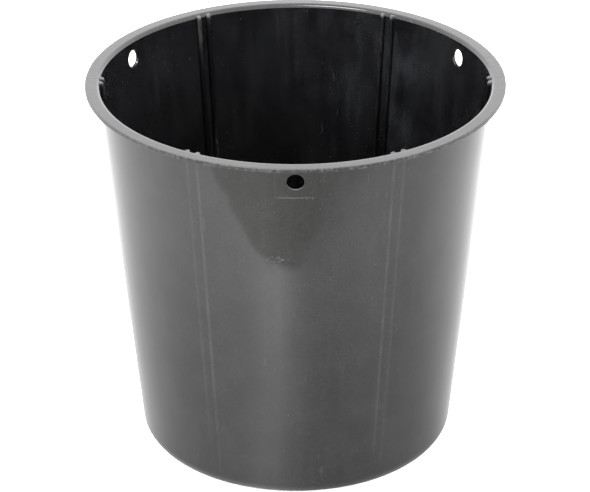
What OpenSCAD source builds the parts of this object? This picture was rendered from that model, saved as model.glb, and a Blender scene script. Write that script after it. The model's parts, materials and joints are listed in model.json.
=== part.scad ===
// Florist bucket: a tapered round bucket moulded in one shot of black plastic.
// Origin: centre of the base on the standing plane. +Z up, front hole towards -Y.
// The moulding is divided where its own features meet: flat rim and wall, each parted
// in six behind the rib pairs, three hole pads, six rib pairs, heel, foot and floor.

/* [Overall] */
// Outer diameter of the flat rim
rim_d = 300; // [270:1:330]
// Height from the standing plane to the top of the rim
height = 279; // [220:1:320]
// Wall thickness of the whole moulding
wall_t = 2; // [1.8:0.1:2.8]

/* [Wall] */
// Outer diameter of the wall where its slope meets the top plane
wall_top_d = 282.8; // [262:0.2:284]
// Outer diameter of the wall where its slope meets the standing plane
wall_base_d = 228.8; // [210:0.2:250]

/* [Rim] */
// Thickness of the flat rim
rim_t = 2.8; // [2.2:0.1:4]
// Rounding of the mouth, from the wall's inner face to the top of the rim
lip_r = 2.2; // [1.4:0.1:2.2]
// Rounding of the rim's two outer edges
edge_r = 0.6; // [0.2:0.1:1]

/* [Base] */
// Outer radius of the corner between wall and base
corner_r = 12; // [8:0.5:14]
// Height at which the heel ends and the wall panels start
heel_top = 14; // [14:0.5:16]
// Inner radius of the standing ring under the base
foot_r = 94; // [84:1:94]
// How far the floor is lifted above the standing plane
floor_lift = 3; // [2:0.5:6]
// Diameter of the shallow gate dimple under the floor
gate_d = 16; // [10:1:24]

/* [Hanging holes] */
// Diameter of each of the three holes
hole_d = 12; // [8:0.5:13]
// Depth of the hole centres below the top of the rim
hole_drop = 14.2; // [13:0.1:16]
// Width of the rectangular pad around a hole
pad_w = 28; // [20:1:32]
// Depth of the pad's lower edge below the top of the rim
pad_drop = 26.6; // [24:0.2:32]
// How far the pad stands proud of the outside of the wall
pad_proud = 0.3; // [0.2:0.1:0.6]

/* [Inner ribs] */
// Width of a rib at the wall
rib_w = 4; // [3:0.5:4]
// Height of a rib off the inside of the wall
rib_h = 2.6; // [2:0.1:4]
// Distance between the centre lines of the two ribs of a pair
rib_gap = 8.1; // [6.5:0.1:12]
// Height of the ribs' lower ends above the standing plane
rib_foot = 16; // [16:1:60]

/* [Hidden] */

$fn = 360;

black = "#26282a";
black_light = "#3a3c3e";
panels = 6;
panel_angle = 360 / panels;
holes = 3;
hole_pitch = 360 / holes;
first_wall = panels;
first_pad = first_wall + panels;
first_rib = first_pad + holes;

rim_r = rim_d / 2;
rim_under = height - rim_t;
slope = (wall_top_d - wall_base_d) / 2 / height;
draft = atan(slope);
wall_across = wall_t / cos(draft);
pad_bottom = height - pad_drop;
hole_z = height - hole_drop;
corner_x = wall_base_d / 2 + corner_r * tan(draft) - corner_r / cos(draft);
web_run = 4;
floor_r = foot_r - web_run;
gate_depth = 0.6;
gate_nib_d = 3;
gate_nib_drop = 0.5;
rib_head_drop = 0.6;
rib_head_r = 2;
rib_root = 1.2;
over = 1;

function wall_out(z) = wall_base_d / 2 + z * slope;
function wall_in(z) = wall_out(z) - wall_across;

// What is cut away from a square corner at p to round it by r.
// side holds the signs that point from the corner into the material.
module round_off(p, side, r) {
    far = p + side * r;
    near = p - side * over;
    difference() {
        polygon([near, [far[0], near[1]], far, [near[0], far[1]]]);
        translate(far) circle(r);
    }
}

// Band of the wall between two heights, raised on its outside by proud.
module wall_band(low, high, proud = 0) {
    polygon([
        [wall_in(low), low], [wall_out(low) + proud, low],
        [wall_out(high) + proud, high], [wall_in(high), high]
    ]);
}

// Section of the flat rim, with its rounded mouth and outer edges.
module rim_section() {
    mouth = [wall_in(height - lip_r), height];
    difference() {
        polygon([
            [wall_in(rim_under), rim_under], [rim_r, rim_under],
            [rim_r, height], mouth, [mouth[0], height - lip_r]
        ]);
        round_off(mouth, [1, -1], lip_r);
        round_off([rim_r, height], [-1, -1], edge_r);
        round_off([rim_r, rim_under], [-1, 1], edge_r);
    }
}

// The bucket's outer outline, drawn in by inset, up to the heel's top.
module outline_section(inset) {
    r = corner_r - inset;
    union() {
        polygon([
            [0, inset], [corner_x, inset], [corner_x, corner_r],
            [corner_x + r * cos(draft), corner_r - r * sin(draft)],
            [wall_out(heel_top) - inset / cos(draft), heel_top], [0, heel_top]
        ]);
        intersection() {
            translate([corner_x, corner_r]) circle(r);
            square([rim_r, heel_top]);
        }
    }
}

// Section of the heel, the rounded corner between wall and foot.
module heel_section() {
    difference() {
        outline_section(0);
        outline_section(wall_t);
        translate([-over, -over]) square([corner_x + over, heel_top + 2 * over]);
    }
}

// Section of the foot: the standing ring, and the sloping web up to the floor.
module foot_section() {
    polygon([
        [corner_x, 0], [corner_x, wall_t], [foot_r, wall_t],
        [floor_r, floor_lift + wall_t], [floor_r, floor_lift], [foot_r, 0]
    ]);
}

// The space that a pad fills in its wall panel, at the front.
module pad_window() {
    translate([-pad_w / 2, -rim_r - over, pad_bottom])
        cube([pad_w, rim_r / 2, height - pad_bottom]);
}

// A hole at the front, square to the wall.
module hang_hole() {
    translate([0, -wall_out(hole_z), hole_z])
        rotate([90 + draft, 0, 0])
            cylinder(d = hole_d, h = 6 * wall_t, center = true);
}

// A section revolved through an arc that is centred on the front.
module arc_of(angle) {
    rotate([0, 0, -90 - angle / 2]) rotate_extrude(angle = angle) children();
}

module rim_segment(azimuth) {
    rotate([0, 0, azimuth]) arc_of(panel_angle) rim_section();
}

module wall_panel(azimuth, has_hole = false) {
    rotate([0, 0, azimuth]) difference() {
        arc_of(panel_angle) wall_band(heel_top, rim_under);
        if (has_hole) pad_window();
    }
}

module hole_pad(azimuth) {
    rotate([0, 0, azimuth]) difference() {
        intersection() {
            arc_of(panel_angle / 2) wall_band(pad_bottom, rim_under, pad_proud);
            pad_window();
        }
        hang_hole();
    }
}

// One straight rib with a half-round crest, its head rounded and its foot run out.
// Drawn with X across it, Y off the wall and Z up the wall.
module rib_bar(length) {
    crest = rib_w / 2;
    intersection() {
        linear_extrude(length) union() {
            translate([-crest, -rib_root]) square([rib_w, rib_root + rib_h - crest]);
            translate([0, rib_h - crest]) circle(crest);
        }
        rotate([90, 0, 90]) linear_extrude(2 * rib_w, center = true) union() {
            polygon([
                [-rib_root, 0], [0, 0], [rib_h, 2 * rib_h], [rib_h, length - rib_head_r],
                [rib_h - rib_head_r, length - rib_head_r], [rib_h - rib_head_r, length],
                [-rib_root, length]
            ]);
            translate([rib_h - rib_head_r, length - rib_head_r]) circle(rib_head_r);
        }
    }
}

module rib_pair(azimuth) {
    length = (height - rib_head_drop - rib_foot) / cos(draft);
    rotate([0, 0, azimuth]) difference() {
        for (side = [-1, 1])
            rotate([0, 0, side * asin(rib_gap / 2 / wall_in(height))])
                translate([0, -wall_in(rib_foot), rib_foot])
                    rotate([draft, 0, 0]) rib_bar(length);
        arc_of(panel_angle / 2) {
            wall_band(rib_foot - over, rim_under);
            rim_section();
        }
    }
}

module base_heel() {
    color(black) rotate_extrude() heel_section();
}

module base_foot() {
    color(black) rotate_extrude() foot_section();
}

module base_floor() {
    color(black) {
        difference() {
            translate([0, 0, floor_lift]) cylinder(r = floor_r, h = wall_t);
            translate([0, 0, floor_lift - over]) cylinder(d = gate_d, h = gate_depth + over);
        }
        translate([0, 0, floor_lift - gate_nib_drop])
            cylinder(d = gate_nib_d, h = gate_nib_drop + wall_t);
    }
}

for (i = [0 : panels - 1]) {
    color(black_light) rim_segment(i * panel_angle);
    color(black) wall_panel(i * panel_angle, i % 2 == 0);
    color(black) rib_pair((i + 0.5) * panel_angle);
}

for (i = [0 : holes - 1])
    color(black_light) hole_pad(i * hole_pitch);

base_heel();
base_foot();
base_floor();
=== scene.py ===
"""Florist bucket: a one-shot black plastic moulding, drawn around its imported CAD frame.

Everything is in metres, in the frame's own axes: +Z up, the front hole towards -Y.
Azimuth is measured from the front, turning towards +X.
"""

import json
import math

import bmesh
import bpy
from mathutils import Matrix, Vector


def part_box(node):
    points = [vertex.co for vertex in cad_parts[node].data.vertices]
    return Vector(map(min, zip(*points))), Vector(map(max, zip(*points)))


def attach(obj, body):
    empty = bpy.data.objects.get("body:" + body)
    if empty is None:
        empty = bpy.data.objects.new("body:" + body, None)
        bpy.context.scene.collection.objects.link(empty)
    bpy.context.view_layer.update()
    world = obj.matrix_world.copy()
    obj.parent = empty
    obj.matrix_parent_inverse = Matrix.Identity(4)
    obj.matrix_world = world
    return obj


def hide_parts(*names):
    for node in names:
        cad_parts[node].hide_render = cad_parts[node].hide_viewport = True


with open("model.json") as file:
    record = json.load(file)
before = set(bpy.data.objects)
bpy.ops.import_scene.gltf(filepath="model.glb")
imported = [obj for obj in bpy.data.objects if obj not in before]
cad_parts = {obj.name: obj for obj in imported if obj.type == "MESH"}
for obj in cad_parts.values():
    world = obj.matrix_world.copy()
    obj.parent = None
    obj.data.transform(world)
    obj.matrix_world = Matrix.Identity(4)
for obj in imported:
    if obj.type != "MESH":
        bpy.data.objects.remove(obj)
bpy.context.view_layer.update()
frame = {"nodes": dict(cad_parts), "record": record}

bl_info = {
    "name": "Florist bucket",
    "version": (1, 0, 0),
    "blender": (4, 5, 0),
    "location": "View3D > Sidebar > Bucket",
    "description": "Builds a tapered black plastic bucket around its frame",
    "category": "Object",
}

BODY = "root"
MM = 0.001
MERGE = 0.001 * MM
PANELS = 6
PANEL = 2 * math.pi / PANELS
SIDES = ("front", "front_right", "rear_right", "rear", "rear_left", "front_left")
HOLE_SIDES, HOLE_TURNS = SIDES[::2], (0.0, 2 * PANEL, 4 * PANEL)
RIB_SIDES = ("front_right", "right", "rear_right", "rear_left", "left", "front_left")


# ---- frame readings


def points_of(node):
    """A node's vertices as (distance from the axis, height)."""
    return [(math.hypot(v.co.x, v.co.y), v.co.z) for v in frame["nodes"][node].data.vertices]


def ring_at(node, level, slack=0.05 * MM):
    """Smallest and largest distance from the axis of a node's vertices at one height."""
    radii = [r for r, z in points_of(node) if abs(z - level) < slack]
    return min(radii), max(radii)


class Form:
    """The bucket's sizes, read from the frame's nodes and its first hole mount."""

    def __init__(self):
        rim_low, rim_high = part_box("rim_rear")
        wall_low, wall_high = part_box("wall_rear")
        pad_low, pad_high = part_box("hole_pad_front")
        floor_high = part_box("base_floor")[1]
        self.height = rim_high.z
        self.rim_under = rim_low.z
        self.rim_r = frame["record"]["size"]["bbox_m"][0] / 2
        low_in, low_out = ring_at("wall_rear", wall_low.z)
        high_out = ring_at("wall_rear", wall_high.z)[1]
        self.slope = (high_out - low_out) / (wall_high.z - wall_low.z)
        self.draft = math.atan(self.slope)
        self.base_r = low_out - self.slope * wall_low.z
        self.wall = (low_out - low_in) * math.cos(self.draft)
        self.foot_r, self.corner_x = ring_at("base_foot", 0)
        self.floor_r = min(r for r, z in points_of("base_foot"))
        self.corner_r = (self.base_r - self.corner_x) / (1 / math.cos(self.draft) - self.slope)
        self.floor_top = floor_high.z
        self.floor_lift = self.floor_top - self.wall
        self.pad_low = pad_low.z
        self.pad_half = pad_high.x
        self.pad_proud = ring_at("hole_pad_front", pad_low.z)[1] - self.out_at(pad_low.z)
        hole = next(m for m in frame["record"]["mounts"] if m["name"] == "hang_hole_front")
        self.hole_r = hole["dims"]["r_mm"] * MM
        along = (self.wall - self.pad_proud) / 2
        self.hole_z = hole["pos_m"][2] - along * math.sin(self.draft)

    def out_at(self, z):
        """Outer radius of the wall at a height."""
        return self.base_r + self.slope * z

    def in_at(self, z):
        """Inner radius of the wall at a height."""
        return self.out_at(z) - self.wall / math.cos(self.draft)


FORM = Form()


def placed(name, data):
    """A new object in the scene, holding that data."""
    thing = bpy.data.objects.new(name, data)
    bpy.context.collection.objects.link(thing)
    return thing


def arc(centre, radius, start, end, steps):
    """Points of an arc in a section, angles in degrees from the outward direction."""
    turn = [math.radians(start + (end - start) * i / steps) for i in range(steps + 1)]
    return [(centre[0] + radius * math.cos(a), centre[1] + radius * math.sin(a)) for a in turn]


# ---- settings


def number_prop(name, text, default, top, **more):
    return bpy.props.FloatProperty(
        name=name, description=text, default=default, min=0.0, max=top, **more
    )


def length_prop(name, text, default, top):
    return number_prop(name, text, default, top, unit="LENGTH", precision=5)


def colour_prop(name, text, default):
    return bpy.props.FloatVectorProperty(
        name=name, description=text, default=default, size=3, subtype="COLOR", min=0.0, max=1.0
    )


class BucketShape(bpy.types.PropertyGroup):
    """Sizes of the moulding that its frame leaves open."""

    rib_skirt: length_prop("Rib skirt", "Width of a rib where it meets the wall", 4.6 * MM, 0.02)
    rib_height: length_prop("Rib height", "How far a rib stands off the wall", 2.6 * MM, 0.01)
    rib_gap: length_prop("Rib gap", "Distance between the two ribs of a pair", 8.1 * MM, 0.03)
    rib_foot: length_prop("Rib foot", "Height at which the ribs run out", 16 * MM, 0.1)
    lip_radius: length_prop("Mouth rounding", "Rounding of the inner edge", 3.2 * MM, 0.005)
    edge_radius: length_prop("Rim edge", "Rounding of the rim's outer edge", 0.6 * MM, 0.001)
    sink_depth: length_prop("Sink depth", "Depth of the lines behind the ribs", 0.06 * MM, 0.001)
    sink_width: length_prop("Sink width", "Width of the lines behind the ribs", 1.6 * MM, 0.01)
    wave_depth: length_prop("Waviness", "Height of the slow waves in the wall", 0.10 * MM, 0.001)


class BucketLook(bpy.types.PropertyGroup):
    """Colours and finish of the plastic, and the studio."""

    plastic: colour_prop("Plastic", "Colour of the black plastic", (0.0024, 0.0025, 0.0028))
    scuff: colour_prop("Scuffs", "Colour of scuffed and dusty plastic", (0.16, 0.16, 0.165))
    gloss: number_prop("Roughness", "Roughness of the clean wall", 0.06, 1.0)
    floor: colour_prop("Floor", "Colour of the studio floor", (0.90, 0.90, 0.90))
    softbox: number_prop("Softbox", "Power of the softbox", 45.0, 1000.0, unit="POWER")
    sky: number_prop("Studio light", "Strength of the white room's light", 3.2, 20.0)


# ---- node helpers


class Tree:
    """Short calls for building a node tree in reading order."""

    def __init__(self, tree):
        self.tree = tree

    def add(self, kind, inputs=(), **settings):
        """A node of that kind. inputs pairs a socket's name or number with its value."""
        node = self.tree.nodes.new(kind)
        for key, value in settings.items():
            setattr(node, key, value)
        for key, value in inputs:
            self.put(node.inputs[key], value)
        return node

    def put(self, socket, value):
        if isinstance(value, bpy.types.NodeSocket):
            self.tree.links.new(value, socket)
        elif value is not None:
            socket.default_value = value

    def math(self, operation, *values):
        return self.add("ShaderNodeMath", enumerate(values), operation=operation).outputs[0]

    def vector(self, operation, *values):
        node = self.add("ShaderNodeVectorMath", enumerate(values), operation=operation)
        return node.outputs["Value" if operation == "LENGTH" else 0]

    def plus(self, first, *others):
        for other in others:
            first = self.math("ADD", first, other)
        return first

    def minus(self, one, other):
        return self.math("SUBTRACT", one, other)

    def times(self, first, *others):
        for other in others:
            first = self.math("MULTIPLY", first, other)
        return first

    def over(self, one, other):
        return self.math("DIVIDE", one, other)

    def size(self, value):
        return self.math("ABSOLUTE", value)

    def gap(self, one, other):
        """How far two values lie apart."""
        return self.size(self.minus(one, other))

    def flat_length(self, x, y):
        """Length of a step of x and y."""
        return self.vector("LENGTH", self.xyz(x, y, 0.0))

    def xyz(self, x, y, z):
        return self.add("ShaderNodeCombineXYZ", [(0, x), (1, y), (2, z)]).outputs[0]

    def split(self, vector):
        return self.add("ShaderNodeSeparateXYZ", [(0, vector)]).outputs

    def ramp(self, value, low, high, to_low=0.0, to_high=1.0, smooth=True):
        """value taken from low..high to to_low..to_high, held at the ends."""
        kind = "SMOOTHSTEP" if smooth else "LINEAR"
        pairs = [("Value", value), (1, low), (2, high), (3, to_low), (4, to_high)]
        return self.add("ShaderNodeMapRange", pairs, interpolation_type=kind).outputs[0]


def spaced(label):
    return label.replace("_", " ")


class GeometryTree(Tree):
    """A geometry tree with named inputs, ending in Realize Instances and Set Material."""

    def __init__(self, name, **inputs):
        tree = bpy.data.node_groups.new(name, "GeometryNodeTree")
        super().__init__(tree)
        face = tree.interface
        face.new_socket("Geometry", in_out="INPUT", socket_type="NodeSocketGeometry")
        for label, default in inputs.items():
            kind = "NodeSocketInt" if isinstance(default, int) else "NodeSocketFloat"
            socket = face.new_socket(spaced(label), in_out="INPUT", socket_type=kind)
            socket.default_value = default
        face.new_socket("Material", in_out="INPUT", socket_type="NodeSocketMaterial")
        face.new_socket("Geometry", in_out="OUTPUT", socket_type="NodeSocketGeometry")
        self.given = tree.nodes.new("NodeGroupInput").outputs

    def finish(self, geometry):
        pairs = [("Geometry", geometry), ("Distance", MERGE)]
        merged = self.add("GeometryNodeMergeByDistance", pairs)
        smooth = self.add("GeometryNodeSetShadeSmooth", [("Geometry", merged.outputs[0])])
        real = self.add("GeometryNodeRealizeInstances", [("Geometry", smooth.outputs[0])])
        pairs = [("Geometry", real.outputs[0]), ("Material", self.given["Material"])]
        dressed = self.add("GeometryNodeSetMaterial", pairs)
        self.add("NodeGroupOutput", [("Geometry", dressed.outputs[0])])
        return self.tree

    def points(self):
        """How many points the base mesh has."""
        given = [("Geometry", self.given["Geometry"])]
        return self.add("GeometryNodeAttributeDomainSize", given).outputs[0]

    def grid(self, columns, rows):
        """A sheet of columns by rows, with each point's column and row."""
        sheet = self.add("GeometryNodeMeshGrid", [("Vertices X", columns), ("Vertices Y", rows)])
        index = self.add("GeometryNodeInputIndex").outputs[0]
        column = self.math("FLOOR", self.over(self.plus(index, 0.5), rows))
        return sheet.outputs["Mesh"], column, self.minus(index, self.times(column, rows))

    def swing(self, azimuth, radius):
        """X and Y of a point at that azimuth and distance from the axis."""
        sine, cosine = self.math("SINE", azimuth), self.math("COSINE", azimuth)
        return self.times(radius, sine), self.times(radius, cosine, -1)

    def move(self, sheet, place):
        pairs = [("Geometry", sheet), ("Position", place)]
        return self.add("GeometryNodeSetPosition", pairs).outputs[0]

    def slow_noise(self, spot, seed, scale, detail):
        pairs = [("Vector", spot), ("W", seed), ("Scale", scale), ("Detail", detail)]
        return self.add("ShaderNodeTexNoise", pairs, noise_dimensions="4D").outputs[0]

    def position(self, index):
        """X, Y and Z of the base mesh's point at an index."""
        here = self.add("GeometryNodeInputPosition").outputs[0]
        return self.split(self.sampled(here, "FLOAT_VECTOR", index))

    def sample(self, label, index):
        """The base mesh's own share of that name at a point index."""
        source = self.add("GeometryNodeInputNamedAttribute", [("Name", label)], data_type="FLOAT")
        return self.sampled(source.outputs[0], "FLOAT", index)

    def sampled(self, value, kind, index):
        node = self.add("GeometryNodeSampleIndex", data_type=kind, domain="POINT")
        self.put(node.inputs["Geometry"], self.given["Geometry"])
        self.put(node.inputs["Value"], value)
        self.put(node.inputs["Index"], index)
        return node.outputs[0]


def section_object(name, points, **columns):
    """A mesh of loose points, a section in the XZ plane, with one float attribute per column."""
    mesh = bpy.data.meshes.new(name)
    mesh.from_pydata([(p[0], 0, p[1]) for p in points], [], [])
    for label, values in columns.items():
        mesh.attributes.new(label, "FLOAT", "POINT").data.foreach_set("value", values)
    return placed(name, mesh)


def grow(piece, tree, material, **inputs):
    """Runs a geometry tree on a piece and leaves the result as its plain mesh."""
    modifier = piece.modifiers.new("shape", "NODES")
    modifier.node_group = tree
    values = {spaced(key): value for key, value in inputs.items()}
    values["Material"] = material
    for item in tree.interface.items_tree:
        if item.in_out == "INPUT" and item.name in values:
            modifier[item.identifier] = values[item.name]
    state = bpy.context.evaluated_depsgraph_get()
    result = bpy.data.meshes.new_from_object(piece.evaluated_get(state))
    piece.modifiers.clear()
    if not result.polygons:
        raise RuntimeError(f"{piece.name}: its geometry tree made no faces")
    old = piece.data
    piece.data = result
    result.name = piece.name
    bpy.data.meshes.remove(old)
    return piece


def turn_outwards(piece):
    """Turns every face of a closed piece outwards."""
    form = bmesh.new()
    form.from_mesh(piece.data)
    bmesh.ops.recalc_face_normals(form, faces=form.faces)
    form.to_mesh(piece.data)
    form.free()


def settle(piece, *nodes):
    """Every piece of the bucket rides on its one body, and the frame's parts it replaces are
    hidden.
    """
    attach(piece, BODY)
    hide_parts(*nodes)


# ---- turned parts

RIB_COLUMNS, PLAIN_COLUMNS, PAD_COLUMNS = 12, 12, 8
RIB_ZONE = math.radians(4.2)
HALF_COLUMNS = RIB_COLUMNS + PLAIN_COLUMNS + PAD_COLUMNS


def turned_tree():
    """Turns a section round the axis, with columns close together behind the ribs.

    The section's points carry two shares: sink, how far a point feels the sink lines, and
    wave, how far it follows the slow waves of the moulding.
    """
    t = GeometryTree(
        "turned section", Pad_angle=0.1, Rib_angle=0.03,
        Sink_depth=0.0, Sink_width=2 * MM, Wave_depth=0.0, Wave_seed=0.0,
    )
    sheet, column, row = t.grid(2 * HALF_COLUMNS * PANELS + 1, t.points())

    # the column's angle from its nearest rib line, in three zones
    panel = t.math("FLOOR", t.over(t.plus(column, 0.5), 2 * HALF_COLUMNS))
    step = t.minus(column, t.times(panel, 2 * HALF_COLUMNS))
    near = t.math("MINIMUM", step, t.minus(2 * HALF_COLUMNS, step))
    plain_zone = t.minus(PANEL / 2 - RIB_ZONE, t.given["Pad angle"])
    beside_rib = t.times(t.math("MINIMUM", near, RIB_COLUMNS), RIB_ZONE / RIB_COLUMNS)
    past_rib = t.math("MINIMUM", t.math("MAXIMUM", t.minus(near, RIB_COLUMNS), 0), PLAIN_COLUMNS)
    plain = t.times(past_rib, t.over(plain_zone, PLAIN_COLUMNS))
    in_pad = t.math("MAXIMUM", t.minus(near, RIB_COLUMNS + PLAIN_COLUMNS), 0)
    pad = t.times(in_pad, t.over(t.given["Pad angle"], PAD_COLUMNS))
    from_rib = t.plus(t.plus(beside_rib, plain), pad)
    side = t.math("SIGN", t.minus(HALF_COLUMNS + 0.5, step))
    centred = t.minus(PANEL / 2, from_rib)
    within = t.minus(PANEL / 2, t.times(side, centred))
    azimuth = t.plus(t.times(panel, PANEL), t.plus(within, PANEL / 2))

    place = t.position(row)
    off_rib = t.times(t.minus(from_rib, t.given["Rib angle"]), place[0])
    reach = t.math("POWER", t.over(off_rib, t.given["Sink width"]), 2)
    sink = t.math("EXPONENT", t.times(reach, -1))
    sink = t.times(sink, t.given["Sink depth"], t.sample("sink", row))

    x, y = t.swing(azimuth, place[0])
    slow = t.slow_noise(t.xyz(x, t.times(y, -1), place[2]), t.given["Wave seed"], 14.0, 1.0)
    wave = t.times(t.minus(slow, 0.5), t.given["Wave depth"], t.sample("wave", row))
    x, y = t.swing(azimuth, t.minus(t.plus(place[0], wave), sink))
    return t.finish(t.move(sheet, t.xyz(x, y, place[2])))


def pad_angle():
    return FORM.pad_half / FORM.out_at(FORM.hole_z)


def rib_angle(shape):
    return math.asin(shape.rib_gap / 2 / FORM.in_at(FORM.height))


WINDOW_TOP_GAP = 0.5 * MM
WINDOW_ROWS, WALL_ROWS = 6, 34
# heights over which the sink lines and the slow waves fade out
SINK_FADE, WAVE_FADE = 12 * MM, 30 * MM


def window_rows():
    """Heights of the rows across a pad's window, from its lower to its upper edge."""
    low, high = FORM.pad_low, FORM.rim_under - WINDOW_TOP_GAP
    return [low + (high - low) * i / WINDOW_ROWS for i in range(WINDOW_ROWS + 1)]


def wall_rows():
    """Heights of the rows of the plain wall, from above the heel to under the pads."""
    low, high = FORM.corner_r + 3 * MM, FORM.pad_low
    return [low + (high - low) * i / WALL_ROWS for i in range(WALL_ROWS)]


def body_section():
    """The wall, heel, foot and floor as one closed section, with its sink and wave shares."""
    f = FORM
    corner = (f.corner_x, f.corner_r)
    tangent = -math.degrees(f.draft)
    gate_r, gate_deep, nib_r, nib_drop = 8 * MM, 0.6 * MM, 1.5 * MM, 0.5 * MM
    lift, soft = f.floor_lift, 0.4 * MM
    under = [
        (0, lift - nib_drop), (nib_r * 0.8, lift - nib_drop), (nib_r, lift - nib_drop * 0.6),
        (nib_r * 1.05, lift + gate_deep * 0.7), (nib_r * 1.3, lift + gate_deep),
        (gate_r - soft, lift + gate_deep), (gate_r, lift + gate_deep * 0.5), (gate_r + soft, lift),
    ]
    under += [(f.floor_r * share, lift) for share in (0.2, 0.4, 0.6, 0.8, 0.93)]
    under += arc((f.floor_r - 1.2 * MM, lift - 2 * MM), 2 * MM, 90, 53, 3)
    under += arc((f.foot_r + 0.9 * MM, 2 * MM), 2 * MM, -127, -90, 3)
    under += [(f.foot_r + 5 * MM, 0), (f.corner_x - 0.4 * MM, 0)]
    heel = arc(corner, f.corner_r, -90, tangent, 14)
    outer_z = wall_rows() + window_rows() + [f.rim_under]
    outer = [(f.out_at(z), z) for z in outer_z]
    inner = [(f.in_at(z), z) for z in reversed(outer_z)]
    inner_heel = arc(corner, f.corner_r - f.wall, tangent, -90, 10)
    web_out, web_in = f.foot_r + 0.4 * MM, f.floor_r + 0.4 * MM
    floor = [(web_out + 3 * MM, f.wall)]
    floor += arc((web_out + 1.4 * MM, f.wall + 2 * MM), 2 * MM, -90, -127, 3)
    floor += arc((web_in - 2.2 * MM, f.floor_top - 2 * MM), 2 * MM, 53, 90, 3)
    floor += [(f.floor_r * share, f.floor_top) for share in (0.93, 0.75, 0.5, 0.25, 0)]
    points = under + heel + outer + inner + inner_heel + floor
    sink = [0.0] * (len(under) + len(heel))
    sink += [min(1.0, (z - f.corner_r) / SINK_FADE) for z in outer_z]
    sink += [0.0] * (len(points) - len(sink))
    waves = [min(1.0, (f.height - z) / WAVE_FADE) for z in outer_z]
    wave = [0.0] * len(under) + [i / len(heel) for i in range(len(heel))] + waves + waves[::-1]
    wave += [1 - i / len(inner_heel) for i in range(len(inner_heel))] + [0.0] * len(floor)
    return points, sink, wave


def cut_windows(piece):
    """Opens a window for each hole pad through the wall, and closes its four sides."""
    form = bmesh.new()
    form.from_mesh(piece.data)
    rows = window_rows()
    low, high = rows[0] - 0.01 * MM, rows[-1] + 0.01 * MM
    reach = pad_angle() + 1e-4
    for centre in HOLE_TURNS:

        def in_window(point):
            turn = math.atan2(point.x, -point.y) - centre
            turn = (turn + math.pi) % (2 * math.pi) - math.pi
            return abs(turn) < reach and low < point.z < high

        gone = [face for face in form.faces if all(in_window(v.co) for v in face.verts)]
        if not gone:
            raise RuntimeError(f"no wall behind the pad at {math.degrees(centre):.0f} degrees")
        bmesh.ops.delete(form, geom=gone, context="FACES")
        open_edges = [edge for edge in form.edges if edge.is_boundary]
        rims = [edge for edge in open_edges if all(in_window(v.co) for v in edge.verts)]
        bmesh.ops.bridge_loops(form, edges=rims)
    loose = [v for v in form.verts if not v.link_faces]
    bmesh.ops.delete(form, geom=loose, context="VERTS")
    bmesh.ops.recalc_face_normals(form, faces=form.faces)
    form.to_mesh(piece.data)
    form.free()


ROOT_FILLET = 0.4 * MM
RIM_COLUMNS = 900
RIM_WAVE, RIM_NICK, RIM_SEED = 0.12 * MM, 0.05 * MM, 7.0
WALL_SEED = 3.0


def rim_section(shape):
    """The flat rim: mouth, top, outer edge and underside, closed on itself."""
    f = FORM
    lip, edge = shape.lip_radius, shape.edge_radius
    mouth = (f.in_at(f.height - lip) + lip, f.height - lip)
    top_edge = (f.rim_r - edge, f.height - edge)
    low_edge = (f.rim_r - edge, f.rim_under + edge)
    root = f.out_at(f.rim_under)
    points = [(f.in_at(f.rim_under), f.rim_under)]
    points += arc(mouth, lip, 180 - math.degrees(f.draft) * 0.6, 90, 10)
    flat = top_edge[0] - mouth[0]
    points += [(mouth[0] + flat * share, f.height) for share in (0.2, 0.4, 0.6, 0.8)]
    points += arc(top_edge, edge, 90, 0, 5)
    points += arc(low_edge, edge, 0, -90, 5)
    points += [(root + 5 * MM, f.rim_under), (root + 1.5 * MM, f.rim_under)]
    points += arc((root + ROOT_FILLET, f.rim_under - ROOT_FILLET), ROOT_FILLET, 90, 184, 4)
    points += [(root - ROOT_FILLET, f.rim_under - ROOT_FILLET), points[0]]
    reach = f.rim_r - mouth[0]
    outward = [max(0.0, min(1.0, (r - mouth[0]) / reach)) for r, z in points]
    edge_share = [1.0 if r > f.rim_r - 1.5 * edge else 0.0 for r, z in points]
    return points, outward, edge_share


def rim_tree():
    """Turns the rim's section, with the slow waves and the small nicks of its outer edge."""
    t = GeometryTree("turned rim", Columns=RIM_COLUMNS, Wave_depth=0.0, Nick_depth=0.0, Seed=0.0)
    columns = t.given["Columns"]
    sheet, column, row = t.grid(t.plus(columns, 1), t.points())
    azimuth = t.times(t.over(column, columns), 2 * math.pi)
    place = t.position(row)
    x, y = t.swing(azimuth, place[0])
    spot = t.xyz(x, t.times(y, -1), place[2])
    sag = t.minus(t.slow_noise(spot, t.given["Seed"], 11.0, 1.0), 1.0)
    sag = t.times(sag, t.given["Wave depth"], t.sample("outward", row))
    nick = t.ramp(t.slow_noise(spot, t.plus(t.given["Seed"], 5.0), 160.0, 2.0), 0.64, 0.74)
    nick = t.times(nick, t.times(t.sample("edge", row), t.given["Nick depth"]))
    x, y = t.swing(azimuth, t.minus(place[0], nick))
    return t.finish(t.move(sheet, t.xyz(x, y, t.plus(place[2], sag))))


# ---- ribs

# half of a rib's section from its skirt to its crest: share of the way across, share of the height
RIB_FLANK = (
    (1.0, -0.10), (0.97, -0.01), (0.91, 0.03), (0.84, 0.11), (0.77, 0.28), (0.70, 0.50),
    (0.62, 0.72), (0.53, 0.87), (0.42, 0.95), (0.28, 0.985), (0.14, 0.998),
)
RIB_ROOT = 1.0 * MM
RIB_HEAD_R = 2.0 * MM
RIB_HEAD_DROP = 0.6 * MM
RUN_OUT, RUN_OUT_STEPS, RIB_STEPS = 10 * MM, 8, 40


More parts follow.
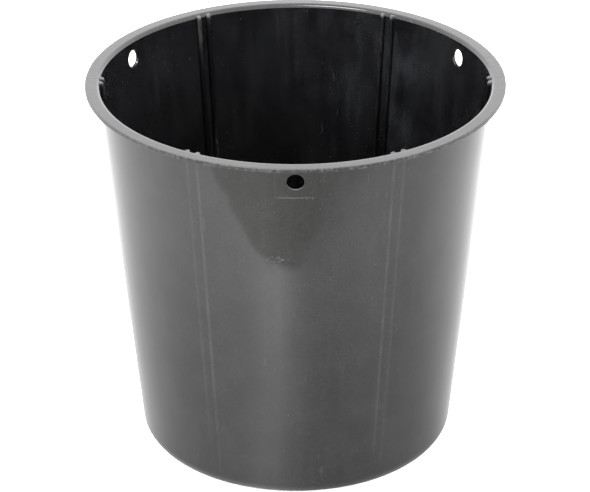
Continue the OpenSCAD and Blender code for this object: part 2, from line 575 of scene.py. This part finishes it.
def rib_stations(shape):
    """Stations up a rib: places on the inner wall, with the share of its height and width."""
    f = FORM
    length = (f.height - RIB_HEAD_DROP - shape.rib_foot) / math.cos(f.draft)
    head = length - RIB_HEAD_R
    stations = [(0.0, 0.0, 0.0)]
    for i in range(RUN_OUT_STEPS + 1):
        share = i / RUN_OUT_STEPS
        stations.append((RUN_OUT * share, share * share * (3 - 2 * share), 0.55 + 0.45 * share))
    for i in range(RIB_STEPS):
        stations.append((RUN_OUT + (head - RUN_OUT) * (i + 1) / RIB_STEPS, 1.0, 1.0))
    low = 1 - RIB_HEAD_R / shape.rib_height
    for angle in (15, 30, 45, 60, 72, 82, 90):
        turn = math.radians(angle)
        rise = low + (1 - low) * math.cos(turn)
        stations.append((head + RIB_HEAD_R * math.sin(turn), rise, 0.62 + 0.38 * math.cos(turn)))
    stations.append((length, 0.0, 0.0))
    places = []
    for along, rise, spread in stations:
        z = shape.rib_foot + along * math.cos(f.draft)
        places.append((f.in_at(z), z, rise, spread))
    return places


def rib_tree():
    """Lofts a rib along its stations and sets two of them beside one line on the wall.

    The base mesh holds the stations and then the points of the rib's closed section.
    """
    t = GeometryTree("rib pair", Stations=1, Azimuth=0.0, Half_gap=0.03, Draft=0.0)
    stations = t.given["Stations"]
    sheet, station, point = t.grid(stations, t.minus(t.points(), stations))
    foot, section = t.position(station), t.position(t.plus(point, stations))
    rise, spread = t.sample("rise", station), t.sample("spread", station)
    off = t.times(section[2], rise)
    side = t.times(section[0], spread)
    away = t.minus(foot[0], t.times(off, t.math("COSINE", t.given["Draft"])))
    up = t.plus(foot[2], t.times(off, t.math("SINE", t.given["Draft"])))
    bar = t.move(sheet, t.xyz(side, t.times(away, -1), up))
    both = t.add("GeometryNodeJoinGeometry")
    for sign in (-1, 1):
        turn = t.plus(t.given["Azimuth"], t.times(t.given["Half gap"], sign))
        pairs = [("Geometry", bar), ("Rotation", t.xyz(0, 0, turn))]
        turned = t.add("GeometryNodeTransform", pairs)
        t.tree.links.new(turned.outputs[0], both.inputs[0])
    return t.finish(both.outputs[0])


def rib_section(shape):
    """The closed section of a rib, skirt to skirt over the crest and back inside the wall."""
    half = shape.rib_skirt / 2
    crest = [(-share * half, high * shape.rib_height) for share, high in RIB_FLANK]
    far = [(-x, z) for x, z in reversed(crest)]
    root = [(share * half, -RIB_ROOT) for share in (0.9, 0.0, -0.9)]
    return crest + [(0.0, shape.rib_height)] + far + root + crest[:1]


# ---- hole pads

PAD_STAND = 0.6  # share of the frame's step that the pad stands proud
PAD_TURNS = 72
PAD_SHARP, BODY_SHARP = math.radians(50), math.radians(40)


class PadPlane:
    """Places on a hole pad: across it, up the wall's slope, and out of the wall."""

    def __init__(self, azimuth):
        self.azimuth = azimuth

    def at(self, across, up, out):
        f = FORM
        radius = f.out_at(f.hole_z) + up * math.sin(f.draft) + out * math.cos(f.draft)
        z = f.hole_z + up * math.cos(f.draft) - out * math.sin(f.draft)
        turn = self.azimuth + across / f.out_at(f.hole_z)
        return Vector((radius * math.sin(turn), -radius * math.cos(turn), z))

    def up_to(self, z, out):
        """How far up the slope a height lies, at a distance out of the wall."""
        f = FORM
        return (z - f.hole_z + out * math.sin(f.draft)) / math.cos(f.draft)


def pad_mesh(name, azimuth):
    """A pad with its hole: one closed skin, from its edge over the face and through the hole."""
    f, plane = FORM, PadPlane(azimuth)
    edge, lap, fillet, flare = 0.12 * MM, 0.03 * MM, 0.35 * MM, 0.5 * MM
    half, inner = f.pad_half, -f.wall
    high_z, low_z = f.rim_under, f.pad_low
    window_z = f.rim_under - WINDOW_TOP_GAP
    corner_up, corner_down = plane.up_to(high_z, 0), plane.up_to(low_z, 0)
    turns = [2 * math.pi * i / PAD_TURNS for i in range(PAD_TURNS)]
    for u, v in ((half, corner_up), (-half, corner_up), (-half, corner_down), (half, corner_down)):
        turns.append(math.atan2(v, u) % (2 * math.pi))
    turns.sort()

    def frame_point(turn, wide, top, low, out):
        """Where a ray from the hole's centre leaves the pad's outline."""
        c, s = math.cos(turn), math.sin(turn)
        limits = [wide / abs(c)] if abs(c) > 1e-9 else []
        if abs(s) > 1e-9:
            limits.append((plane.up_to(top if s > 0 else low, out)) / s)
        reach = min(limit for limit in limits if limit > 0)
        return reach * c, reach * s

    def ring(share, radius, out, inset=0.0, top=high_z):
        """A closed ring between the outline (share 0) and a circle of that radius (share 1)."""
        places = []
        for turn in turns:
            x, y = frame_point(turn, half + lap - inset, top - inset, low_z - lap + inset, out)
            cx, cy = radius * math.cos(turn), radius * math.sin(turn)
            places.append(plane.at(x + (cx - x) * share, y + (cy - y) * share, out))
        return places

    proud, hole, tube = PAD_STAND * f.pad_proud, f.hole_r, -0.9 * MM
    rings = [ring(0, hole, inner, top=window_z), ring(0, hole, -edge, top=window_z)]
    rings += [ring(0, hole, -edge * 0.9), ring(0, hole, proud - edge)]
    rings += [ring(0, hole, proud - edge * 0.3, edge * 0.3), ring(0, hole, proud, edge)]
    for share in (0.12, 0.3, 0.5, 0.7, 0.86, 1.0):
        rings.append(ring(share, hole + fillet, proud, edge * (1 - share)))
    for angle in (20, 40, 60, 80, 90):
        turn = math.radians(angle)
        radius = hole + fillet * (1 - math.sin(turn))
        rings.append(ring(1, radius, proud - fillet * (1 - math.cos(turn))))
    rings += [ring(1, hole, tube * share) for share in (0.5, 0.9)]
    for wider, out in ((0.15 * MM, tube * 1.08), (0.35 * MM, inner * 0.85), (flare, inner)):
        rings.append(ring(1, hole + wider, out))
    rings += [ring(share, hole + flare, inner, top=window_z) for share in (0.8, 0.5, 0.2)]

    form = bmesh.new()
    loops = [[form.verts.new(place) for place in places] for places in rings]
    count = len(turns)
    for k, loop in enumerate(loops):
        after = loops[(k + 1) % len(loops)]
        for i in range(count):
            j = (i + 1) % count
            form.faces.new((loop[i], loop[j], after[j], after[i]))
    bmesh.ops.recalc_face_normals(form, faces=form.faces)
    for face in form.faces:
        face.smooth = True
    mesh = bpy.data.meshes.new(name)
    form.to_mesh(mesh)
    form.free()
    mesh.set_sharp_from_angle(angle=PAD_SHARP)
    return placed(name, mesh)


# ---- plastic


class Finish(Tree):
    """A node material on object coordinates, ending in one Principled shader."""

    def __init__(self, name):
        material = bpy.data.materials.new(name)
        material.use_nodes = True
        super().__init__(material.node_tree)
        self.tree.nodes.clear()
        self.material = material
        self.shader = self.add("ShaderNodeBsdfPrincipled")
        self.add("ShaderNodeOutputMaterial", [("Surface", self.shader.outputs[0])])
        self.place = self.add("ShaderNodeTexCoord").outputs["Object"]

    def surface(self, **inputs):
        """Sets or links the shader's own inputs, and gives the finished material."""
        for label, value in inputs.items():
            self.put(self.shader.inputs[spaced(label)], value)
        return self.material

    def noise(self, scale, detail=2.0, vector=None, roughness=0.5, distortion=0.0):
        pairs = [("Vector", vector or self.place), ("Scale", scale), ("Detail", detail)]
        pairs += [("Roughness", roughness), ("Distortion", distortion)]
        return self.add("ShaderNodeTexNoise", pairs).outputs[0]

    def cells(self, scale):
        pairs = [("Vector", self.place), ("Scale", scale)]
        return self.add("ShaderNodeTexVoronoi", pairs).outputs["Distance"]

    def mix(self, share, one, other):
        node = self.add("ShaderNodeMix", data_type="RGBA")
        self.put(node.inputs["Factor"], share)
        self.put(node.inputs["A"], one)
        self.put(node.inputs["B"], other)
        return node.outputs["Result"]

    def stretched(self, x, y, z, turn=0.0):
        """Object coordinates scaled per axis, and turned about the vertical."""
        pairs = [("Vector", self.place), ("Scale", (x, y, z)), ("Rotation", (0, 0, turn))]
        return self.add("ShaderNodeMapping", pairs).outputs[0]

    def bump(self, height, distance, under=None):
        pairs = [("Height", height), ("Distance", distance), ("Strength", 1.0)]
        node = self.add("ShaderNodeBump", pairs)
        if under is not None:
            self.put(node.inputs["Normal"], under)
        return node.outputs[0]

    def weighed(self, marks, weights):
        """The marks added up, each by its weight."""
        return self.total(*(self.times(marks[name], weight) for name, weight in weights.items()))

    def total(self, *values):
        """The values added up and held between 0 and 1."""
        return self.math("MINIMUM", self.math("MAXIMUM", self.plus(*values), 0.0), 1.0)


# how far each mark pales the wall, and how much it roughens it
MARKS_PALE = {
    "dust": 0.2, "grit": 0.26, "scratch": 0.06, "scrape": 0.03,
    "rubbed": 0.30, "witness": 0.04, "painted_edge_highlight": 0.22, "nick": 0.5,
}
MARKS_ROUGH = {"dust": 0.4, "scratch": 0.12, "witness": 0.05, "rubbed": 0.3}
# how much rougher than the clean wall the other parts are
RIB_DULLER, RIM_DULLER, MOUTH_DULLER = 0.12, 0.20, 0.04
IOR = 1.5
# bluish tint of the painted sheen, a painted reflection down the inside
PAINTED_SHEEN_TINT = (0.20, 0.21, 0.235, 1.0)
# where the painted sheen inside is strongest, and where its brighter band of painted sheen runs
PAINTED_SHEEN_TURN, SHEEN_BAND_TURN = math.radians(152), math.radians(143)
# the rubbed spot: left of the front, share of the height, and how much wider it is than high
RUB_LEFT, RUB_UP, RUB_WIDER = 11.5 * MM, 0.728, 3.4
PAPER_ROUGH, PAPER_GLOW = 0.9, 0.7


def rgba(colour):
    return (*colour, 1.0)


def azimuth_of(m, x, y):
    """A point's azimuth, 0 at the front and growing towards +X."""
    return m.math("ARCTAN2", x, m.times(y, -1))


def near_band(m, value, centre, half, soft):
    """1 where value lies within half of centre, fading out over soft."""
    return m.ramp(m.gap(value, centre), half + soft, half)


def wall_plastic(look):
    """Glossy black plastic with flow marks down the draw, dust specks and fine scratches, with
    painted sheen and painted shade inside and a painted highlight under each pad.
    """
    f = FORM
    rib_line = rib_angle(bpy.context.scene.bucket_shape)
    m = Finish("black plastic, wall")
    x, y, z = m.split(m.place)[:3]
    azimuth = azimuth_of(m, x, y)
    radius = m.flat_length(x, y)
    skin = m.minus(radius, m.plus(f.base_r, m.times(z, f.slope)))
    outside = m.ramp(skin, -0.8 * MM, -0.6 * MM)
    inside = m.minus(1.0, outside)
    streaks = m.ramp(m.noise(1.0, 3.0, m.stretched(160, 160, 5)), 0.40, 0.74)
    cloud = m.ramp(m.noise(26, 4.0, roughness=0.6), 0.38, 0.72)
    grain = m.noise(1900, 2.0, roughness=0.6)
    polish = m.noise(1.0, 2.0, m.stretched(35, 35, 1100))

    # loose grit, fine scratches down the draw, and a few scrapes
    grit = m.times(m.ramp(m.cells(95), 0.05, 0.02), m.ramp(m.noise(60, 1.0), 0.54, 0.62))
    lines = m.noise(1.0, 1.0, m.stretched(520, 520, 30, 0.4))
    scratch = m.times(m.ramp(lines, 0.70, 0.72), m.ramp(m.noise(33, 1.0), 0.58, 0.66))
    contour = m.gap(m.noise(21, 1.0, m.stretched(1, 1, 0.6, 1.1)), 0.5)
    scrape = m.times(m.ramp(contour, 0.0032, 0.001), m.ramp(m.noise(31, 1.0), 0.62, 0.68))

    # witness lines behind the ribs, faint near the base
    turn = m.over(azimuth, PANEL)
    off_rib = m.minus(m.minus(turn, m.math("FLOOR", turn)), 0.5)
    from_line = m.minus(m.size(off_rib), rib_line / PANEL)
    from_line = m.size(m.times(from_line, PANEL, radius))
    broken = m.ramp(m.noise(1.0, 2.0, m.stretched(300, 300, 60)), 0.30, 0.55, 0.45, 1.0)
    inner = m.ramp(m.size(azimuth), PANEL / 2 + 0.01, PANEL / 2 - 0.01, 1.0, 1.7)
    broken = m.times(broken, inner)
    witness = m.times(m.ramp(from_line, 1.7 * MM, 0.3 * MM), outside, broken)
    witness = m.times(witness, m.ramp(z, f.corner_r, f.corner_r + 0.1, 0.3, 1.0))

    # dust: small round specks in drifts, and along the witness lines
    speck = m.times(m.ramp(m.cells(360), 0.15, 0.05), m.ramp(m.noise(420, 0.0), 0.50, 0.62))
    beside = m.ramp(from_line, 12 * MM, 2 * MM, 0.0, 0.7)
    dust = m.times(speck, m.total(m.ramp(m.noise(17, 2.0), 0.36, 0.58), beside))

    # a rubbed spot in front, under the first hole
    spot_z = m.times(m.minus(z, f.height * RUB_UP), RUB_WIDER)
    rub = m.flat_length(m.plus(x, RUB_LEFT), spot_z)
    rubbed = m.times(m.ramp(rub, 13 * MM, 4 * MM), m.ramp(y, 0.0, -0.05))
    rubbed = m.times(rubbed, m.ramp(m.noise(1.0, 4.0, m.stretched(330, 330, 520), 0.7), 0.52, 0.66))

    # a painted highlight along the lower edge of the tool insert round each hole, with two nicks
    # beside it
    third = m.over(azimuth, 2 * PANEL)
    third = m.minus(third, m.math("FLOOR", m.plus(third, 0.5)))
    across = m.times(third, 2 * PANEL, f.out_at(f.pad_low))
    off_edge = m.gap(z, f.pad_low)
    run = m.times(m.ramp(across, -11 * MM, -9 * MM), m.ramp(across, 7 * MM, 5.5 * MM))
    painted_edge_highlight = m.times(m.ramp(off_edge, 0.45 * MM, 0.15 * MM), run, outside)
    painted_edge_highlight = m.times(painted_edge_highlight, m.ramp(m.noise(500, 1.0), 0.3, 0.5, 0.5, 1.0))
    nick_run = m.times(m.ramp(across, 6 * MM, 7 * MM), m.ramp(across, 12.5 * MM, 11.5 * MM))
    nick = m.times(m.ramp(off_edge, 1.1 * MM, 0.5 * MM), nick_run, outside)
    nick = m.times(nick, m.ramp(m.noise(620, 1.0), 0.52, 0.60))

    # a soft painted sheen down the inside: a painted reflection that fades towards the left, with a
    # brighter painted band
    upper = m.ramp(z, f.height * 0.42, f.height * 0.88)
    turned = m.gap(azimuth, PAINTED_SHEEN_TURN)
    painted_sheen = m.times(m.ramp(turned, math.radians(95), 0.0, 0.35, 1.0), upper, inside, 0.5)
    sheen_band = m.times(near_band(m, azimuth, SHEEN_BAND_TURN, 0.0, 0.16), upper, inside, 0.9)
    patchy = m.ramp(m.noise(1.0, 3.0, m.stretched(42, 42, 22), 0.5), 0.32, 0.70, 0.1, 1.3)
    painted_sheen = m.times(m.total(painted_sheen, sheen_band), patchy, m.ramp(streaks, 0.0, 1.0, 0.7, 1.0))

    mottle = m.ramp(m.noise(45, 2.0), 0.3, 0.7, 0.80, 1.0)
    mottle = m.times(m.noise(760, 3.0, roughness=0.75), mottle)
    # painted shade: the pale mottle fades out down the inside, so the lower inside is darker
    depth = m.times(inside, m.ramp(z, f.height * 0.7, f.height * 0.3, 0.0, 0.9))
    mottle = m.times(m.ramp(mottle, 0.34, 0.58, 0.0, 0.036), m.minus(1.0, depth))
    base = m.mix(mottle, rgba(look.plastic), rgba(look.scuff))
    base = m.mix(m.times(streaks, cloud, 0.02), base, rgba(look.scuff))
    # painted sheen inside: the base is lifted towards a bluish tint
    base = m.mix(m.times(painted_sheen, 0.11), base, PAINTED_SHEEN_TINT)
    marks = {
        "dust": dust, "grit": grit, "scratch": scratch, "scrape": scrape, "rubbed": rubbed,
        "witness": witness, "painted_edge_highlight": painted_edge_highlight, "nick": nick,
    }
    base = m.mix(m.weighed(marks, MARKS_PALE), base, rgba(look.scuff))
    rough = m.plus(look.gloss, m.times(cloud, 0.02), m.times(streaks, 0.02))
    rough = m.plus(rough, m.times(m.minus(grain, 0.5), 0.05))
    rough = m.total(rough, m.weighed(marks, MARKS_ROUGH))
    slow = m.bump(m.noise(30, 1.0), 0.1 * MM)
    flow = m.bump(streaks, 0.01 * MM, under=slow)
    peel = m.bump(polish, 0.0016 * MM, under=m.bump(m.noise(480, 2.0), 0.0018 * MM, under=flow))
    relief = m.total(m.times(grain, 0.4), m.times(scratch, -0.6), dust, rubbed)
    relief = m.bump(relief, 0.003 * MM, under=peel)
    return m.surface(Base_Color=base, Roughness=rough, Normal=relief, IOR=IOR)


def rib_plastic(look):
    """The ribs' plastic, rubbed dull along their crests by nested buckets."""
    f = FORM
    m = Finish("black plastic, ribs")
    x, y, z = m.split(m.place)[:3]
    radius = m.flat_length(x, y)
    proud = m.minus(m.plus(f.in_at(0.0), m.times(z, f.slope)), radius)
    crest = m.ramp(proud, 0.7 * MM, 2.1 * MM)
    drag = m.ramp(m.noise(1.0, 3.0, m.stretched(900, 900, 14), 0.6), 0.34, 0.62)
    patch = m.ramp(m.noise(1.0, 1.0, m.stretched(75, 75, 7)), 0.36, 0.62)
    chips = m.times(m.ramp(m.cells(420), 0.12, 0.05), m.ramp(m.noise(300, 0.0), 0.56, 0.62))
    upper = m.ramp(z, f.height * 0.35, f.height * 0.95, 0.25, 1.0)
    side = m.times(m.ramp(x, -0.05, 0.03, 1.0, 0.28), m.ramp(m.size(x), 0.10, 0.12, 1.0, 0.25))
    rubbed = m.times(crest, m.plus(0.18, m.times(drag, 0.5)), patch, upper, side)
    head = m.ramp(z, f.height - 4 * MM, f.height - 1.5 * MM)
    head = m.times(head, m.ramp(m.noise(500, 2.0), 0.35, 0.55))
    worn = m.total(m.times(rubbed, 0.42), m.times(head, 0.25), m.times(chips, 0.25))
    base = m.mix(worn, rgba(look.plastic), rgba(look.scuff))
    rough = m.total(look.gloss + RIB_DULLER, m.times(drag, 0.06), m.times(rubbed, 0.2))
    peel = m.bump(m.noise(420, 2.0), 0.01 * MM)
    relief = m.bump(m.times(drag, crest), 0.02 * MM, under=peel)
    return m.surface(Base_Color=base, Roughness=rough, Normal=relief, IOR=IOR)


def rim_plastic(look):
    """The rim's plastic: duller, mottled by handling, with knit lines beside the gate's flow."""
    m = Finish("black plastic, rim")
    x, y = m.split(m.place)[:2]
    mottle = m.ramp(m.noise(190, 5.0, roughness=0.65, distortion=0.4), 0.34, 0.70)
    patch = m.ramp(m.noise(22, 3.0), 0.36, 0.68)
    grain = m.noise(2100, 2.0, roughness=0.6)
    specks = m.times(m.ramp(m.cells(300), 0.16, 0.07), m.ramp(m.noise(260, 0.0), 0.58, 0.64))
    scratch_field = m.noise(1.0, 1.0, m.stretched(90, 1400, 90, 0.9))
    scratch = m.times(m.ramp(scratch_field, 0.67, 0.70), m.ramp(m.noise(60, 1.0), 0.50, 0.60))
    off_knit = m.plus(y, m.times(m.minus(m.noise(120, 2.0), 0.5), 1.2 * MM))
    knit = m.ramp(m.size(off_knit), 0.45 * MM, 0.1 * MM)
    radius = m.flat_length(x, y)
    edge = m.ramp(radius, FORM.rim_r - 1.2 * MM, FORM.rim_r - 0.4 * MM)
    worn = m.times(edge, m.ramp(m.noise(320, 4.0, roughness=0.7), 0.46, 0.62))
    base = m.mix(m.times(mottle, patch, 0.08), rgba(look.plastic), rgba(look.scuff))
    marks = m.total(m.times(specks, 0.5), m.times(scratch, 0.18), m.times(worn, 0.16))
    base = m.mix(marks, base, rgba(look.scuff))
    base = m.mix(m.times(knit, 0.6), base, rgba([c * 0.3 for c in look.plastic]))
    lip = FORM.in_at(FORM.height)
    mouth = m.ramp(radius, lip + 3.0 * MM, lip + 2.2 * MM)
    clean = m.ramp(mouth, 0.0, 1.0, look.gloss + RIM_DULLER, look.gloss + MOUTH_DULLER)
    rough = m.plus(clean, m.times(mottle, 0.08), m.times(m.minus(grain, 0.5), 0.16))
    rough = m.total(rough, m.times(specks, 0.3), m.times(worn, 0.2))
    slow = m.bump(m.noise(30, 2.0), 0.13 * MM)
    pitted = m.bump(mottle, 0.014 * MM, under=slow)
    lined = m.bump(m.times(knit, -1.0), 0.08 * MM, under=pitted)
    fine = m.bump(m.total(m.times(grain, 0.5), m.times(scratch, -0.5)), 0.02 * MM, under=lined)
    return m.surface(Base_Color=base, Roughness=rough, Normal=fine, IOR=IOR)


def floor_paper(look):
    """Plain pale paper with a faint grain."""
    m = Finish("studio paper")
    tone = m.ramp(m.noise(3.0, 2.0), 0.3, 0.7)
    base = m.mix(m.times(tone, 0.05), rgba(look.floor), (0.8, 0.8, 0.8, 1.0))
    grain = m.bump(m.noise(700, 3.0), 0.02 * MM)
    return m.surface(
        Base_Color=base, Normal=grain, Roughness=PAPER_ROUGH, Specular_IOR_Level=0.1,
        Emission_Color=(1.0, 1.0, 1.0, 1.0), Emission_Strength=PAPER_GLOW,
    )


def flat_sheet(name, low, high, z):
    """A flat sheet of the studio, between two corners."""
    mesh = bpy.data.meshes.new(name)
    (left, front), (right, back) = low, high
    corners = [(left, front, z), (right, front, z), (right, back, z), (left, back, z)]
    mesh.from_pydata(corners, [], [(0, 1, 2, 3)])
    return placed(name, mesh)


# painted light and shade of the floor as the wall reflects it, by direction from the bucket:
# degrees towards +X, share of the paper's tone
PAINTED_REFLECTION_FAN = (
    (-150, 0.62), (-110, 0.65), (-90, 0.73), (-75, 0.77), (-58, 0.79), (-38, 0.90), (-27, 0.95),
    (-18, 1.20), (-11, 1.36), (-6, 1.14), (0, 0.88), (9, 0.70), (22, 0.62), (40, 0.73),
    (52, 0.64), (70, 0.57), (90, 0.67), (112, 0.64), (150, 0.68),
)
FAN_LEVEL = 0.8
# painted shade of the far part, lighter on the left than on the right
FAR_LEFT, FAR_RIGHT = (0.66, 0.66, 0.63, 1), (0.49, 0.49, 0.468, 1)
CARD_EDGE = -0.378  # where the far part starts, in front of the bucket


def painted_floor_reflection(look):
    """A sheet on the floor seen only in reflections: the floor's light and shade painted in as grey
    grades, with a darker far part of painted shade.
    """
    m = Finish("studio reflector")
    x, y = m.split(m.place)[:2]
    direction = m.math("DEGREES", azimuth_of(m, x, y))
    low, high = PAINTED_REFLECTION_FAN[0][0], PAINTED_REFLECTION_FAN[-1][0]
    ramp = m.add("ShaderNodeValToRGB", [("Fac", m.ramp(direction, low, high, smooth=False))])
    ramp.color_ramp.interpolation = "B_SPLINE"
    stops = ramp.color_ramp.elements
    while len(stops) < len(PAINTED_REFLECTION_FAN):
        stops.new(0.5)
    for stop, (angle, _) in zip(stops, PAINTED_REFLECTION_FAN):
        stop.position = (angle - low) / (high - low)
    for stop, (_, tone) in zip(stops, PAINTED_REFLECTION_FAN):
        stop.color = (*[tone * FAN_LEVEL] * 3, 1.0)

    # the far part's edge: crisp on the left, soft and further off on the right, a little uneven
    soft = m.ramp(x, -0.02, 0.12, 3 * MM, 55 * MM)
    edge = m.ramp(x, -0.02, 0.15, CARD_EDGE, CARD_EDGE - 35 * MM)
    edge = m.plus(edge, m.times(m.noise(5, 1.0), 3 * MM), m.ramp(x, -0.27, -0.35, 0.0, 16 * MM))
    edge = m.plus(edge, m.times(near_band(m, x, -0.125, 0.02, 0.05), 7 * MM))
    past = m.over(m.minus(edge, y), soft)
    distance = m.flat_length(x, y)
    # painted light: the tone grows brighter away from the bucket
    lift = m.ramp(distance, 0.20, 0.48, 1.0, 1.3)
    near = m.vector("MULTIPLY", ramp.outputs[0], m.xyz(lift, lift, lift))
    far = m.mix(m.ramp(x, -0.17, 0.02), FAR_LEFT, FAR_RIGHT)
    tone = m.mix(m.ramp(past, -1.0, 1.0), near, far)
    return m.surface(Base_Color=tone, Roughness=PAPER_ROUGH, Specular_IOR_Level=0.0)


def material(name, maker):
    """The named material, made once."""
    return bpy.data.materials.get(name) or maker(bpy.context.scene.bucket_look)


def wall_finish():
    return material("black plastic, wall", wall_plastic)


# ---- places in the studio

FLOOR_REACH = 12
CARD_LOW, CARD_HIGH, CARD_LIFT = (-2.2, -2.2), (2.2, 1.2), 0.2 * MM
LAMP_SIZE = (1.0, 0.6)
LAMP_PLACE = Vector((-0.62, -0.85, FORM.height + 2.0))
LAMP_AIM = Vector((0, 0.1, FORM.height))
SENSOR, LENS = 36.0, 167.0
# to the right, back and up from the rim's centre, in rim radii
CAMERA_REACH = (0.0112, 11.931, 5.251)
CAMERA_PITCH, CAMERA_YAW, CAMERA_ROLL = 27.256, 0.074, -0.171


# ---- operators


class BUCKET_OT_body(bpy.types.Operator):
    """Builds the wall, heel, foot and floor, with windows for the hole pads"""

    bl_idname = "bucket.body"
    bl_label = "Body"

    def execute(self, context):
        shape = context.scene.bucket_shape
        points, sink, wave = body_section()
        piece = section_object("bucket_body", points, sink=sink, wave=wave)
        grow(
            piece, turned_tree(), wall_finish(), Pad_angle=pad_angle(), Rib_angle=rib_angle(shape),
            Sink_depth=shape.sink_depth, Sink_width=shape.sink_width,
            Wave_depth=shape.wave_depth, Wave_seed=WALL_SEED,
        )
        cut_windows(piece)
        piece.data.set_sharp_from_angle(angle=BODY_SHARP)
        settle(piece, *("wall_" + side for side in SIDES), "base_heel", "base_foot", "base_floor")
        return {"FINISHED"}


class BUCKET_OT_rim(bpy.types.Operator):
    """Builds the flat rim with its rounded mouth"""

    bl_idname = "bucket.rim"
    bl_label = "Rim"

    def execute(self, context):
        shape = context.scene.bucket_shape
        points, outward, edge = rim_section(shape)
        piece = section_object("rim_flange", points, outward=outward, edge=edge)
        grow(
            piece, rim_tree(), material("black plastic, rim", rim_plastic),
            Columns=RIM_COLUMNS, Wave_depth=RIM_WAVE, Nick_depth=RIM_NICK, Seed=RIM_SEED,
        )
        turn_outwards(piece)
        settle(piece, *("rim_" + side for side in SIDES))
        return {"FINISHED"}


class BUCKET_OT_pads(bpy.types.Operator):
    """Builds the three raised pads, each with its hanging hole"""

    bl_idname = "bucket.pads"
    bl_label = "Hole pads"

    def execute(self, context):
        for side, turn in zip(HOLE_SIDES, HOLE_TURNS):
            piece = pad_mesh("pad_with_hole_" + side, turn)
            piece.data.materials.append(wall_finish())
            settle(piece, "hole_pad_" + side)
        return {"FINISHED"}


class BUCKET_OT_ribs(bpy.types.Operator):
    """Builds the six pairs of slim ribs down the inside"""

    bl_idname = "bucket.ribs"
    bl_label = "Inner ribs"

    def execute(self, context):
        shape = context.scene.bucket_shape
        tree = rib_tree()
        stations = rib_stations(shape)
        section = rib_section(shape)
        blank = [0.0] * len(section)
        finish = material("black plastic, ribs", rib_plastic)
        for number, side in enumerate(RIB_SIDES):
            piece = section_object(
                "twin_ribs_" + side, [s[:2] for s in stations] + section,
                rise=[s[2] for s in stations] + blank, spread=[s[3] for s in stations] + blank,
            )
            grow(
                piece, tree, finish, Stations=len(stations), Azimuth=(number + 0.5) * PANEL,
                Half_gap=rib_angle(shape), Draft=FORM.draft,
            )
            turn_outwards(piece)
            settle(piece, "rib_pair_" + side)
        return {"FINISHED"}


class BUCKET_OT_studio(bpy.types.Operator):
    """Sets up the floor, the soft light and the camera"""

    bl_idname = "bucket.studio"
    bl_label = "Studio"

    def execute(self, context):
        look = context.scene.bucket_look
        floor = flat_sheet("studio_floor", [-FLOOR_REACH] * 2, [FLOOR_REACH] * 2, 0.0)
        floor.data.materials.append(floor_paper(look))
        # a sheet seen only in glossy reflections, carrying painted light and shade of the floor
        card = flat_sheet("reflection_only_card", CARD_LOW, CARD_HIGH, CARD_LIFT)
        card.data.materials.append(painted_floor_reflection(look))
        card.visible_camera = card.visible_diffuse = card.visible_shadow = False
        card.visible_transmission = False
        world = bpy.data.worlds.new("white room")
        world.use_nodes = True
        sky = world.node_tree.nodes["Background"].inputs
        sky["Color"].default_value = (1, 1, 1, 1)
        sky["Strength"].default_value = look.sky
        context.scene.world = world
        context.scene.view_settings.view_transform = "Standard"
        softbox = bpy.data.lights.new("softbox", "AREA")
        softbox.shape, (softbox.size, softbox.size_y) = "RECTANGLE", LAMP_SIZE
        softbox.energy = look.softbox
        lamp = placed("softbox", softbox)
        lamp.location = LAMP_PLACE
        lamp.rotation_euler = (LAMP_AIM - LAMP_PLACE).to_track_quat("-Z", "Y").to_euler()
        lamp.visible_camera = lamp.visible_diffuse = False
        lens = bpy.data.cameras.new("studio camera")
        lens.sensor_width, lens.lens = SENSOR, LENS
        camera = placed("studio camera", lens)
        side, back, up = (FORM.rim_r * reach for reach in CAMERA_REACH)
        camera.location = (side, -back, FORM.height + up)
        camera.rotation_euler = (math.radians(90 - CAMERA_PITCH), 0, math.radians(CAMERA_YAW))
        camera.rotation_euler.rotate_axis("Z", math.radians(CAMERA_ROLL))
        context.scene.camera = camera
        return {"FINISHED"}


class BUCKET_PT_panel(bpy.types.Panel):
    """The bucket's sizes, finish and build steps"""

    bl_label = "Florist bucket"
    bl_idname = "BUCKET_PT_panel"
    bl_space_type = "VIEW_3D"
    bl_region_type = "UI"
    bl_category = "Bucket"

    def draw(self, context):
        for group in (context.scene.bucket_shape, context.scene.bucket_look):
            column = self.layout.column()
            for key in group.__annotations__:
                column.prop(group, key)
        for step in STEPS:
            self.layout.operator(step.bl_idname)


STEPS = (BUCKET_OT_body, BUCKET_OT_rim, BUCKET_OT_pads, BUCKET_OT_ribs, BUCKET_OT_studio)
CLASSES = (BucketShape, BucketLook, *STEPS, BUCKET_PT_panel)


def register():
    for cls in CLASSES:
        bpy.utils.register_class(cls)
    bpy.types.Scene.bucket_shape = bpy.props.PointerProperty(type=BucketShape)
    bpy.types.Scene.bucket_look = bpy.props.PointerProperty(type=BucketLook)


def unregister():
    del bpy.types.Scene.bucket_look
    del bpy.types.Scene.bucket_shape
    for cls in reversed(CLASSES):
        bpy.utils.unregister_class(cls)


def main():
    register()
    ops = bpy.ops.bucket
    for step in (ops.body, ops.rim, ops.pads, ops.ribs, ops.studio):
        step()


if __name__ == "__main__":
    main()
